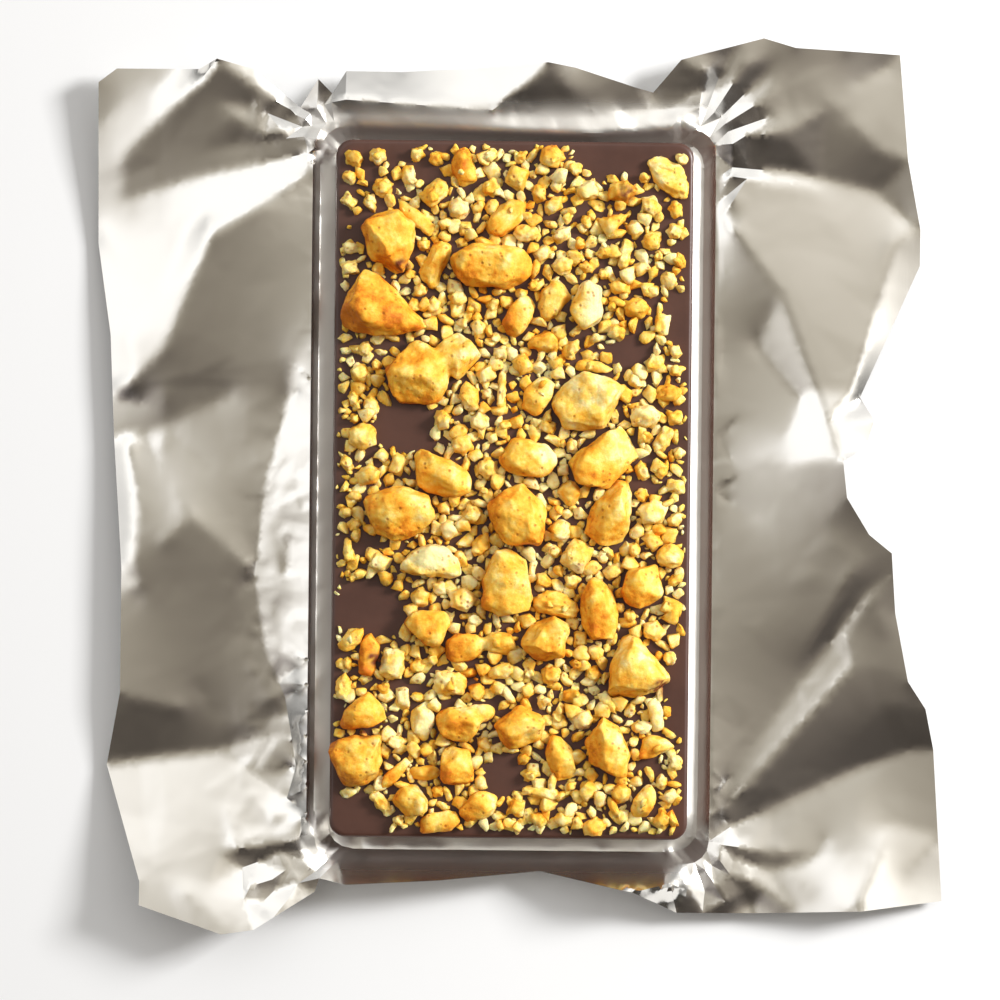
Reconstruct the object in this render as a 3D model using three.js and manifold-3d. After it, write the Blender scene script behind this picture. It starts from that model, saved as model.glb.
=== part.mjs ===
// A slab of milk chocolate topped with broken honeycomb toffee, lying in its own opened foil wrapper.
// Millimetres, +Z up. The bar's long side runs along Y, and the origin is under the middle of the bar,
// on the surface that the wrapper lies on.
import * as THREE from "three";
import { mergeVertices } from "three/addons/utils/BufferGeometryUtils.js";
import Module from "manifold-3d";

const wasm = await Module();
wasm.setup();

// How close two points are taken as one, how much a joined solid is smoothed, and a place beyond all others
const SAME_POINT = 1e-4;
const JOIN_TOLERANCE = 0.002;
const FAR_AWAY = 1e4;

// The slab, widest at its poured top face, with sides that draw in towards the mould's floor
const BAR_WIDTH = 78;
const BAR_LENGTH = 152;
const BAR_THICKNESS = 6.5;
const BAR_CORNER_RADIUS = 3.5;
const BAR_DRAFT = 1.1;
const BAR_EDGE_ROUND = 0.5;
const CORNER_STEPS = 4;

// The wrapper: a foil sheet, a little thicker than real foil so that it is a sound solid
const FOIL_THICKNESS = 0.3;
const FOIL_LOWEST = 0.7;
const RESTING_GAP = 0.02;
const BAR_FLOOR = FOIL_THICKNESS + RESTING_GAP;
const BAR_TOP = BAR_FLOOR + BAR_THICKNESS;

// The tray that the wrapper keeps round the bar: how far outside the bar's edge its floor ends (foot),
// how far out its wall ends (crest), and how high that is; on the left a lip of foil stands on the wall
const TRAY = {
  right: { foot: 2.4, crest: 4.9, height: 3.5 },
  top: { foot: 0.6, crest: 2.9, height: 5.2 },
  left: { foot: 0.5, crest: 3.2, height: 5 },
  bottom: { foot: 2.8, crest: 5.4, height: 3.8 },
};
const TRAY_CORNER_RADIUS = 5;
const TRAY_STEP = 5.5;
const CREST_WAVE = 0.15;
const LEFT_LIP_WIDTH = 1.6;
const LEFT_LIP = 1.8;
const FLOOR_STEP = 19;
const FLOOR_ROWS = 3;

// The opened sheet's edge, clockwise from its upper left corner: x, y and height
const FOIL_EDGE = [
  [-91, 88, 5.6], [-87, 91, 5.6], [-69, 91, 6], [-65, 93, 9.2], [-57, 91, 7], [-47, 83, 4.2],
  [-43, 89, 7], [-40, 86, 6], [-37, 91, 5], [-25, 91, 4], [-8, 92, 4.5], [7, 93, 8.9],
  [13, 92, 7.5], [26, 88, 6], [30, 87, 5], [36, 94, 7], [54, 99, 6], [61, 97, 5.8],
  [72, 96.5, 4.8], [84, 96, 2.6], [86, 73, 2.6], [89, 58, 1.2], [89, 50, 0.9], [76, 21, 3], [79, 16, 5],
  [77, 10, 6.5], [72, 7, 8.8], [73, -1, 7.8], [78, -9, 6.8], [83, -13, 6.4], [84, -26, 5],
  [87, -41, 4.2], [91, -47, 3.3], [93, -56, 1.4], [95, -89, 2.4], [77, -91, 7.6], [54, -92, 3.5],
  [37, -92, 4.5], [27, -87, 9.5], [7, -83, 7.5], [-15, -85, 9.5], [-35, -86, 10], [-41, -85, 7],
  [-42, -88, 7], [-55, -96, 11], [-62, -97, 11.5], [-80, -91, 10], [-80, -86, 9], [-88, -61, 2],
  [-85, -45, 4.7], [-85, -18, 4.6], [-87, 10, 3.2], [-88, 33, 3.4], [-91, 53, 2],
];
const EDGE_STEP = 5;

// The main creases pressed into the sheet, each a path of x, y and height
const CREASES = {
  upperLeft: [
    [[-44.5, 79, 4.4], [-64.7, 92.5, 9.2], [-85.5, 72, 5.2], [-46, 76.5, 6]],
    [[-57, 88.5, 7.4], [-55, 77, 6.3]],
    [[-90, 61, 3.6], [-69, 67.5, 5], [-45, 73, 5.6]],
    [[-87, 20, 4.6], [-76, 30, 6.4], [-66, 55, 8.6], [-56, 60.5, 8.2], [-45.5, 68, 7]],
    [[-66, 55, 8.6], [-55, 31, 5.7]],
    [[-87, 12, 3.2], [-80, 11, 3.5], [-72, 15.5, 4.3], [-62, 20, 4.6]],
    [[-84, 9, 4.6], [-82, -4, 6], [-82.5, -16, 5.8]],
  ],
  leftFoot: [
    [[-49, 19, 4.8], [-54.5, -3, 4.6], [-56, -20, 4.3], [-53.5, -35, 3.7], [-49, -46, 3.3], [-46.5, -61, 3]],
  ],
  lowerLeft: [
    [[-82.5, -16, 5.8], [-75.5, -12, 6.2], [-70, -6.6, 6.3], [-57.5, -17, 5]],
    [[-81, -22, 5.2], [-68, -43.6, 3.2], [-60, -56, 1.7]],
    [[-86, -45.8, 4.7], [-72, -48.5, 3.6]],
    [[-87.5, -60.5, 2], [-62, -57.5, 1.6], [-45, -70.5, 4.4]],
    [[-87, -62.5, 2.8], [-69, -68, 4.6], [-45.5, -76.5, 6.2]],
    [[-45.5, -79, 6], [-74.5, -81.5, 8]],
    [[-45, -81, 6], [-63.5, -94, 11]],
  ],
  topFlap: [
    [[-36, 81.5, 5.6], [36, 81.5, 5.6]],
    [[-37, 84.5, 8.2], [-5, 82.6, 7.2], [7, 92, 8.8], [17, 82.6, 5.9], [33, 83.5, 4.6]],
  ],
  upperRight: [
    [[47.5, 76, 5.4], [60, 84, 4.5], [71.5, 83.5, 4], [79.5, 75, 3]],
    [[47.5, 71, 3.6], [62, 70, 2.1], [79.5, 66, 1], [88, 58.5, 0.9]],
    [[47, 69, 4.6], [62, 67, 2.9], [78, 63.5, 1.4]],
    [[54, 98, 5.8], [60, 84, 4.5]],
    [[68, 86, 4.4], [84, 95, 2.2]],
    [[83, 55, 2.3], [79.5, 42, 3.2], [74.5, 22, 4.8]],
    [[45.5, 60, 5.2], [58.5, 44, 4.8], [66, 22.5, 5.2], [71.5, 8, 8.4]],
    [[53, 32.6, 2.9], [63, 21, 3.8], [69, 8, 8]],
    [[58.5, 44, 4.8], [53, 32.6, 3], [46, 31, 2.8]],
    [[45.5, 60, 5.2], [46, 48, 4.2], [46, 31, 2.8]],
    [[56.5, 2.5, 5], [62, -14.5, 4.8]],
  ],
  lowerRight: [
    [[64, -36.5, 3.6], [73.7, -18.6, 6.2], [79, -10, 6.7]],
    [[45, -67, 2.9], [58, -48.8, 2.9], [69.6, -33, 3.4], [77.2, -22.2, 5.2]],
    [[45.7, -67.7, 3.1], [58.7, -49.5, 3.2], [70.3, -33.7, 3.8], [78.5, -23.2, 5.6], [90, -47, 3.4]],
    [[46, -70.2, 2.9], [74, -37, 4.1]],
    [[46.7, -70.9, 3.1], [75, -37.5, 4.5]],
    [[49, -73, 2.4], [78, -59.5, 0.7], [92, -54.5, 1.4]],
    [[67.6, -79, 3.1], [78, -59.5, 0.7], [84, -72, 2.2], [76.5, -89.5, 7.6], [67.6, -79, 3.1]],
    [[46, -80, 4.4], [54, -91, 3.6]],
  ],
};
const CREASE_STEP = 4;
const CREASE_CLEARANCE = 1;

// Pleats fan out from the tray's four corners, and shallow crumples fill the rest of the sheet
const PLEATS_PER_CORNER = 7;
const PLEAT_FAN = 1.3;
const PLEAT_START = 4;
const PLEAT_LENGTH = 16;
const PLEAT_STEP = 4;
const PLEAT_DEPTH = 0.45;
const PLEAT_CLEARANCE = 1.5;
const CRUMPLE_CLEARANCE = 4.8;
const CRUMPLE_DEPTH = 0.06;
const CRUMPLE_TRIES = 2500;
const SHEET_REACH = 100;
const HEIGHT_BLUR = 1;
const HEIGHT_FALLOFF = 1.5;
const SETTLING_ROUNDS = 150;
const PLAN_SHAKE = 0.02;
const SLIVER = 0.05;

// One lobe of honeycomb: its middle, its length and width, the turn of its length from +X in degrees,
// its number of corners (0 for an oval), how much narrower its far end is, and how large its top is
const lobe = (x, y, length, width, turn = 0, corners = 5, narrowing = 0, top = 0.45) => {
  return { x, y, length, width, turn: THREE.MathUtils.degToRad(turn), corners, narrowing, top };
};

// The larger lumps, each of one lobe or of two that grew together
const LUMPS = [
  [lobe(-27.3, 53.7, 14.4, 11.6, 100, 6, -0.3)],
  [lobe(-26.9, 38, 18, 15, -22, 3)],
  [lobe(-20.6, 24.1, 14, 13.4, 20, 5), lobe(-12.6, 28.6, 9.5, 8, -45, 4)],
  [lobe(-5.4, 48.3, 18.3, 9.6, -5, 6)],
  [lobe(16.2, 19, 13, 16, 96, 5)],
  [lobe(20.6, 7.5, 14, 8.6, 40, 4, 0.2)],
  [lobe(3.3, 7.6, 13, 8.1, -10, 6)],
  [lobe(21.9, -3.9, 14.4, 8.9, 72, 4, 0.35)],
  [lobe(-13.9, 3.1, 13, 8.8, -30, 5)],
  [lobe(-24.9, -5.5, 15.9, 12.2, -5, 0)],
  [lobe(-18, -15.6, 7.3, 13.5, 95, 4, 0.45, 0.8)],
  [lobe(-18.3, -30.3, 10.2, 8, 0, 4)],
  [lobe(-1.2, -20.5, 14.8, 10.3, 80, 4)],
  [lobe(1.9, -6.2, 14.4, 11.4, -55, 5, 0.2)],
  [lobe(-9.6, -35.2, 8.8, 5.4, 15, 0), lobe(-2.4, -33.8, 8.8, 5.6, -5, 0)],
  [lobe(19.5, -25.1, 13.7, 8.3, 98, 5)],
  [lobe(8.5, -32, 10.7, 10, 30, 5)],
  [lobe(26.8, -37.4, 14, 14, 106, 3)],
  [lobe(29.3, -20.4, 9.8, 8.7, 50, 5)],
  [lobe(-32.6, -59.5, 11.2, 12, 98, 4, -0.3)],
  [lobe(-32.4, -49.6, 9.8, 8.2, 214, 3)],
  [lobe(-18.8, -50.3, 8.7, 5.4, 85, 5)],
  [lobe(-10.4, -50.7, 10, 8.3, 10, 5), lobe(-5.9, -48.6, 6, 3.7, 0, 4)],
  [lobe(2.9, -51.2, 11.4, 9.1, 25, 5)],
  [lobe(-11, -60.1, 8.5, 7.4, 90, 4)],
  [lobe(-21.4, -67.6, 7.8, 7, 180, 5)],
  [lobe(-6.2, -68.7, 9.1, 6.1, 30, 5)],
  [lobe(-14.6, -72.6, 8.9, 4.2, 10, 4)],
  [lobe(21.8, -55.8, 13.5, 9.6, 100, 5, 0.2)],
  [lobe(10.7, -57.7, 10.2, 5.9, 110, 5, 0.3)],
  [lobe(16.4, 40.4, 10.9, 7, 80, 4, 0.4, 0.75)],
  [lobe(-10.9, 70, 8.7, 5.7, 90, 6)],
  [lobe(-20.9, 59, 10.4, 2.6, -45, 4)],
  [lobe(1.4, 38.1, 9.8, 4.4, 65, 4)],
  [lobe(-30.7, -36.3, 9.4, 3.9, 80, 4)],
  [lobe(29.5, -67.7, 8.1, 4.8, 65, 0)],
  [lobe(-18.6, -61.9, 7.2, 3.3, 5, 6)],
  [lobe(-24.4, -61.8, 8, 2.4, 50, 4)],
  [lobe(17.4, 27, 8.3, 2.6, -5, 4)],
  [lobe(5.6, 20.5, 8.7, 4.4, 60, 4)],
  [lobe(31.2, -55.3, 4.4, 8.1, 105, 4, 0.6)],
  [lobe(32, -48.3, 8.3, 3.3, 95, 4, 0, 0.7)],
];

// Middle-sized bits that stuck to the chocolate where they fell
const BITS = [
  lobe(-25.4, -37.8, 6.8, 5.2, 80, 4), lobe(-34.4, -32.9, 7, 4.2, 45, 5), lobe(31, -4.4, 6.4, 6, 20, 5),
  lobe(-9.5, 20.6, 7, 4.4, 105, 5), lobe(14.6, -14, 6.8, 5.9, 60, 4), lobe(-1.5, -39.6, 7.2, 3.6, 10, 5),
  lobe(-13.2, -42, 7.4, 5.2, -5, 4), lobe(29.5, 16.2, 7, 5.2, 5, 5), lobe(-32.5, 11.2, 7, 5.9, 30, 6),
  lobe(8.5, 72.4, 5.4, 5.2, 0, 5), lobe(34.9, -14, 6.3, 5.4, 0, 0), lobe(31.8, 69.3, 7.6, 3.9, -60, 4),
  lobe(36.2, 67, 7, 2.8, 95, 4), lobe(-10.1, -23.7, 6.3, 5.7, 0, 5), lobe(12.8, -26, 4.4, 4.2, 0, 0),
  lobe(21.7, 58.6, 6.8, 5, 30, 3), lobe(-17.4, 64.4, 6.5, 4.4, 45, 4), lobe(-16.4, 50.6, 6.4, 4, 65, 4),
  lobe(-18.4, 46.6, 6.6, 3.5, -60, 0), lobe(23.6, 65.1, 6.5, 5.2, 0, 5), lobe(26.9, 39.7, 6.1, 4.8, 0, 5),
  lobe(-31.3, 2.9, 6.1, 4.6, 20, 5), lobe(34.3, 21.4, 6.3, 4.1, 0, 5), lobe(33, 11.4, 6, 3, 60, 4),
  lobe(8.2, -23.8, 6.4, 3.7, 20, 4), lobe(7.1, -66, 8.3, 2.4, -8, 4), lobe(-36, -43.2, 6.4, 3.8, 80, 5),
  lobe(-27.6, -68.6, 6.5, 2.8, -50, 4), lobe(24.2, 51.6, 6.8, 2.6, 75, 4), lobe(-2.3, 21.7, 8.3, 1.8, 90, 4),
  lobe(-6.4, -12, 6, 3.6, 60, 0), lobe(2.8, 55.9, 6, 4, 0, 0), lobe(19.2, -73, 5.9, 4.2, 15, 5),
  lobe(31.6, -30.4, 5.2, 4.8, 0, 5), lobe(21.6, -46.2, 6, 2.8, -55, 5), lobe(10.6, 49.1, 5.2, 4.4, 30, 5),
];

// Bare chocolate: ovals that hold no crumbs, each x, y and its two half sizes
const BARE = [
  [-30.6, -26.4, 8.3, 7], [-23.3, 13.6, 7, 6], [-25.7, 31.5, 8.7, 1.5], [21.1, 71.8, 8.7, 3.4],
  [36.3, 37.8, 3.9, 6.1], [25.9, 30.3, 4.8, 3.9], [-18.1, 69, 3.9, 3], [-25.1, 73.3, 4, 2.2],
  [-32.3, -71.2, 7.6, 4.8], [-12.6, -75, 25, 1.6], [-0.8, -62.1, 4.8, 5.4], [30.3, -59.6, 3.5, 2],
  [36.4, -43.2, 2.4, 8.7], [-22.1, -43, 4.8, 2], [28, 1.2, 3.9, 1.6], [-31.8, -12.6, 3.9, 2.2],
];

// Crumbs, from the largest to the smallest, and how they thin out towards the left edge
const CRUMB_COUNT = 170;
const CRUMB_LARGEST = 6;
const CRUMB_SMALLEST = 2.7;
const CRUMB_SLIMMEST = 0.65;
const CRUMB_SHRINKING = 0.7;
const CRUMB_SHAPES = 3;
const CRUMB_TRIES = 400;
const CRUMB_SINK = 0.4;
const CRUMB_MARGIN = 0.9;
const LUMP_GAP = 0.4;
const CRUMB_GAP = 0.15;
const LEFT_THINNING = 0.45;

// How a lump stands: its height for its width, and its outline at each share of that height
const LUMP_RISE = 0.62;
const LUMP_LOWEST = 2;
const LUMP_HIGHEST = 6.4;
const lumpLevels = ({ top }) => [[0, 0.9], [0.38, 1], [0.78, THREE.MathUtils.lerp(1, top, 0.33)], [1, top]];
const BIT_LEVELS = [[0, 0.96], [0.5, 1], [1, 0.55]];
const CRUMB_LEVELS = [[0, 1], [1, 0.6]];
const LUMP_POINTS = 8;
const BIT_POINTS = 5;
const CRUMB_POINTS = 4;
const OVAL_POINTS = 8;
const CORNER_SHARPNESS = 0.75;
const ROUGHNESS = 0.06;
const TOP_TILT = 0.22;
const TOP_DRIFT = 0.1;

const CHOCOLATE = { color: 0x563d34, roughness: 0.45, metalness: 0 };
const HONEYCOMB = { color: 0xf2b84b, roughness: 0.7, metalness: 0 };
const FOIL = { color: 0xaca697, roughness: 0.25, metalness: 0.9 };

// A repeatable stream of numbers between 0 and 1
function randomStream(seed) {
  let state = seed;
  return () => {
    state = (state + 0x6d2b79f5) | 0;
    let mixed = Math.imul(state ^ (state >>> 15), 1 | state);
    mixed = (mixed + Math.imul(mixed ^ (mixed >>> 7), 61 | mixed)) ^ mixed;
    return ((mixed ^ (mixed >>> 14)) >>> 0) / 2 ** 32;
  };
}

const around = (random, reach) => (2 * random() - 1) * reach;

// How far a plan point lies outside a closed outline, negative where it lies inside
function distanceOutside(x, y, outline) {
  let inside = false;
  let nearest = Infinity;
  outline.forEach(([ax, ay], i) => {
    const [bx, by] = outline[(i + 1) % outline.length];
    const [dx, dy] = [bx - ax, by - ay];
    if (ay > y !== by > y && x < (dx * (y - ay)) / dy + ax) {
      inside = !inside;
    }
    const along = THREE.MathUtils.clamp(((x - ax) * dx + (y - ay) * dy) / (dx * dx + dy * dy), 0, 1);
    nearest = Math.min(nearest, Math.hypot(x - ax - along * dx, y - ay - along * dy));
  });
  return inside ? -nearest : nearest;
}

function geometryFrom(positions, triangles) {
  const geometry = new THREE.BufferGeometry();
  geometry.setAttribute("position", new THREE.Float32BufferAttribute(positions, 3));
  geometry.setIndex(triangles);
  return geometry;
}

// A closed skin through rings of equal length, anticlockwise from above and listed upwards, with a cap
// on each end
function loft(rings) {
  const count = rings[0].length;
  const triangles = [];
  for (let ring = 0; ring + 1 < rings.length; ring += 1) {
    for (let i = 0; i < count; i += 1) {
      const [a, b] = [ring * count + i, ring * count + ((i + 1) % count)];
      triangles.push(a, b, b + count, a, b + count, a + count);
    }
  }
  const cap = (ring) => THREE.ShapeUtils.triangulateShape(ring.map(([x, y]) => new THREE.Vector2(x, y)), []);
  const last = (rings.length - 1) * count;
  cap(rings[0]).forEach(([a, b, c]) => triangles.push(c, b, a));
  cap(rings.at(-1)).forEach(([a, b, c]) => triangles.push(last + a, last + b, last + c));
  return geometryFrom(rings.flat(2), triangles);
}

function solidOf(geometry) {
  const merged = mergeVertices(geometry, SAME_POINT);
  const vertProperties = new Float32Array(merged.attributes.position.array);
  const triVerts = new Uint32Array(merged.index.array);
  return new wasm.Manifold(new wasm.Mesh({ numProp: 3, vertProperties, triVerts }));
}

function geometryOf(solid) {
  const mesh = solid.getMesh();
  return geometryFrom(Array.from(mesh.vertProperties), Array.from(mesh.triVerts));
}

function joined(geometries) {
  const whole = geometries.map(solidOf).reduce((sum, next) => sum.add(next));
  return geometryOf(whole.simplify(JOIN_TOLERANCE));
}

// A box in plan with round corners, anticlockwise from the right side, each point with a value that
// runs from one side's to the next round the corner between them
function roundedBox(reach, radius, step, value) {
  const corners = [
    [reach.right - radius, reach.top - radius, "right", "top"],
    [radius - reach.left, reach.top - radius, "top", "left"],
    [radius - reach.left, radius - reach.bottom, "left", "bottom"],
    [reach.right - radius, radius - reach.bottom, "bottom", "right"],
  ];
  const points = [];
  corners.forEach(([x, y, from, to], quarter) => {
    for (let i = 0; i <= CORNER_STEPS; i += 1) {
      const angle = ((quarter + i / CORNER_STEPS) * Math.PI) / 2;
      const here = THREE.MathUtils.lerp(value[from], value[to], i / CORNER_STEPS);
      points.push([x + radius * Math.cos(angle), y + radius * Math.sin(angle), here]);
    }
  });
  return step ? alongPath([...points, points[0]], step).slice(0, -1) : points;
}

// A path of x, y and height with more points put in, so that none lies further than a step from the next
function alongPath(path, step) {
  const points = [path[0]];
  for (let i = 1; i < path.length; i += 1) {
    const [from, to] = [path[i - 1], path[i]];
    const pieces = Math.max(1, Math.round(Math.hypot(to[0] - from[0], to[1] - from[1]) / step));
    for (let k = 1; k <= pieces; k += 1) {
      points.push(from.map((start, axis) => THREE.MathUtils.lerp(start, to[axis], k / pieces)));
    }
  }
  return points;
}

const sides = (of) => ({ right: of("right"), top: of("top"), left: of("left"), bottom: of("bottom") });
const halfBar = (side) => (side === "right" || side === "left" ? BAR_WIDTH / 2 : BAR_LENGTH / 2);

function slab() {
  const levels = [
    [0, BAR_DRAFT + BAR_EDGE_ROUND],
    [BAR_EDGE_ROUND, BAR_DRAFT],
    [BAR_THICKNESS - BAR_EDGE_ROUND, 0],
    [BAR_THICKNESS, BAR_EDGE_ROUND],
  ];
  const rings = levels.map(([height, inset]) => {
    const level = BAR_FLOOR + height;
    return roundedBox(sides((side) => halfBar(side) - inset), BAR_CORNER_RADIUS, 0, sides(() => level));
  });
  return loft(rings);
}

// A lobe's outline about its own middle, length along X, made rough and then brought to its exact size
function lobeOutline({ length, width, corners, narrowing }, fewest, random) {
  const count = corners ? corners * Math.ceil(fewest / corners) : Math.max(fewest, OVAL_POINTS);
  const start = corners === 4 ? Math.PI / 4 : 0;
  const sector = corners ? (2 * Math.PI) / corners : 0;
  const points = [];
  for (let i = 0; i < count; i += 1) {
    const turn = (2 * Math.PI * i) / count;
    const straight = corners ? Math.cos(sector / 2) / Math.cos((turn % sector) - sector / 2) : 1;
    const radius = THREE.MathUtils.lerp(1, straight, CORNER_SHARPNESS) * (1 + around(random, ROUGHNESS));
    const u = radius * Math.cos(turn + start);
    points.push([u, radius * Math.sin(turn + start) * (1 - narrowing * u)]);
  }
  const [us, vs] = [points.map(([u]) => u), points.map(([, v]) => v)];
  const fit = (value, all, size) => {
    const [least, most] = [Math.min(...all), Math.max(...all)];
    return ((value - least) / (most - least) - 0.5) * size;
  };
  return points.map(([u, v]) => [fit(u, us, length), fit(v, vs, width)]);
}

// A broken lump over its outline: sides that bulge and draw in, and a top that is off centre and tilted
function lumpSkin(outline, size, height, levels, sink, random) {
  const drift = [around(random, TOP_DRIFT) * size.length, around(random, TOP_DRIFT) * size.width];
  const tilt = [around(random, TOP_TILT), around(random, TOP_TILT)];
  const rings = levels.map(([share, spread]) => {
    return outline.map(([u, v]) => {
      const [x, y] = [u * spread + drift[0] * share, v * spread + drift[1] * share];
      const slope = share * (tilt[0] * x + tilt[1] * y);
      return [x, y, share ? share * height + slope : -sink];
    });
  });
  return loft(rings);
}

const lumpHeight = ({ length, width }, random) => {
  const across = Math.min(length, width);
  const height = THREE.MathUtils.clamp(across * LUMP_RISE, LUMP_LOWEST, LUMP_HIGHEST);
  return height * (1 + around(random, TOP_DRIFT));
};

// The place of a piece's own frame on the bar's top
const placeOf = ({ x, y, turn }, z) => new THREE.Matrix4().makeRotationZ(turn).setPosition(x, y, z);

const planOutline = (piece, outline) => {
  const [cos, sin] = [Math.cos(piece.turn), Math.sin(piece.turn)];
  return outline.map(([u, v]) => [piece.x + u * cos - v * sin, piece.y + u * sin + v * cos]);
};

// One lump of one or two lobes in the first lobe's frame, with the plan outlines that it covers
function makeLump(lobes, random) {
  const home = placeOf(lobes[0], 0).invert();
  const plans = [];
  const skins = lobes.map((one) => {
    const outline = lobeOutline(one, LUMP_POINTS, random);
    plans.push(planOutline(one, outline));
    const skin = lumpSkin(outline, one, lumpHeight(one, random), lumpLevels(one), 0, random);
    return skin.applyMatrix4(placeOf(one, 0)).applyMatrix4(home);
  });
  return { geometry: skins.length > 1 ? joined(skins) : skins[0], plans };
}

// A bit or crumb that the chocolate holds, in the bar's frame
function makeCrumb(crumb, fewest, levels, random) {
  const outline = lobeOutline(crumb, fewest, random);
  const skin = lumpSkin(outline, crumb, lumpHeight(crumb, random), levels, CRUMB_SINK, random);
  return { skin: skin.applyMatrix4(placeOf(crumb, BAR_TOP)), plan: planOutline(crumb, outline) };
}

const isBare = (x, y) => BARE.some(([cx, cy, rx, ry]) => ((x - cx) / rx) ** 2 + ((y - cy) / ry) ** 2 < 1);

// Crumbs strewn over the free chocolate, the largest first, each clear of all that lies there already
function strewCrumbs(lumps, bits, random) {
  const crumbs = [];
  const lying = [...bits];
  const clearOf = (plans, x, y, room) => plans.every((plan) => distanceOutside(x, y, plan) > room);
  for (let i = 0; i < CRUMB_COUNT; i += 1) {
    const share = (i / CRUMB_COUNT) ** CRUMB_SHRINKING;
    const length = THREE.MathUtils.lerp(CRUMB_LARGEST, CRUMB_SMALLEST, share);
    const reach = length / 2 + CRUMB_MARGIN;
    for (let tries = 0; tries < CRUMB_TRIES; tries += 1) {
      const x = around(random, BAR_WIDTH / 2 - reach);
      const y = around(random, BAR_LENGTH / 2 - reach);
      const thinned = random() < LEFT_THINNING * (0.5 - x / BAR_WIDTH);
      const free = !isBare(x, y) && clearOf(lumps, x, y, length / 2 + LUMP_GAP);
      if (!thinned && free && clearOf(lying, x, y, length / 2 + CRUMB_GAP)) {
        const width = length * THREE.MathUtils.lerp(CRUMB_SLIMMEST, 1, random());
        const corners = CRUMB_POINTS + Math.floor(CRUMB_SHAPES * random());
        const crumb = { x, y, length, width, turn: Math.PI * random(), corners, narrowing: 0 };
        const made = makeCrumb(crumb, CRUMB_POINTS, CRUMB_LEVELS, random);
        lying.push(made.plan);
        crumbs.push(made.skin);
        break;
      }
    }
  }
  return crumbs;
}

// Delaunay triangles of plan points, as triples of indices that turn anticlockwise
function triangulate(points) {
  const all = [...points, [-FAR_AWAY, -FAR_AWAY], [FAR_AWAY, -FAR_AWAY], [0, FAR_AWAY]];
  const circled = (corners) => {
    const [[ax, ay], [bx, by], [cx, cy]] = corners.map((corner) => all[corner]);
    const [a, b, c] = [ax * ax + ay * ay, bx * bx + by * by, cx * cx + cy * cy];
    const double = 2 * (ax * (by - cy) + bx * (cy - ay) + cx * (ay - by));
    const x = (a * (by - cy) + b * (cy - ay) + c * (ay - by)) / double;
    const y = (a * (cx - bx) + b * (ax - cx) + c * (bx - ax)) / double;
    return { corners, x, y, reach: (ax - x) ** 2 + (ay - y) ** 2 };
  };
  const count = points.length;
  let triangles = [circled([count, count + 1, count + 2])];
  points.forEach(([px, py], i) => {
    const rim = new Map();
    triangles = triangles.filter(({ corners, x, y, reach }) => {
      if ((px - x) ** 2 + (py - y) ** 2 >= reach) {
        return true;
      }
      corners.forEach((from, k) => {
        const to = corners[(k + 1) % 3];
        if (!rim.delete(`${to} ${from}`)) {
          rim.set(`${from} ${to}`, [from, to]);
        }
      });
      return false;
    });
    rim.forEach(([from, to]) => triangles.push(circled([from, to, i])));
  });
  const found = triangles.map(({ corners }) => corners);
  return found.filter((corners) => corners.every((corner) => corner < count));
}

// The sheet's height at a plan point, drawn from the known points near it
function heightNear(x, y, known) {
  let [sum, weights] = [0, 0];
  known.forEach(([kx, ky, kz]) => {
    const weight = 1 / ((x - kx) ** 2 + (y - ky) ** 2 + HEIGHT_BLUR) ** HEIGHT_FALLOFF;
    sum += weight * kz;
    weights += weight;
  });
  return sum / weights;
}

// The pleats at the tray's corners: ridges and furrows by turns, fanning out over the sheet
function cornerPleats(known) {
  const points = [];
  [[1, 1], [-1, 1], [-1, -1], [1, -1]].forEach(([right, up]) => {
    const middle = Math.atan2(up, right);
    for (let i = 0; i < PLEATS_PER_CORNER; i += 1) {
      const angle = middle + (i / (PLEATS_PER_CORNER - 1) - 0.5) * PLEAT_FAN;
      for (let out = PLEAT_START; out <= PLEAT_START + PLEAT_LENGTH; out += PLEAT_STEP) {
        const x = (right * BAR_WIDTH) / 2 + out * Math.cos(angle);
        const y = (up * BAR_LENGTH) / 2 + out * Math.sin(angle);
        points.push([x, y, heightNear(x, y, known) + (i % 2 ? -PLEAT_DEPTH : PLEAT_DEPTH)]);
      }
    }
  });
  return points;
}

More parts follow.
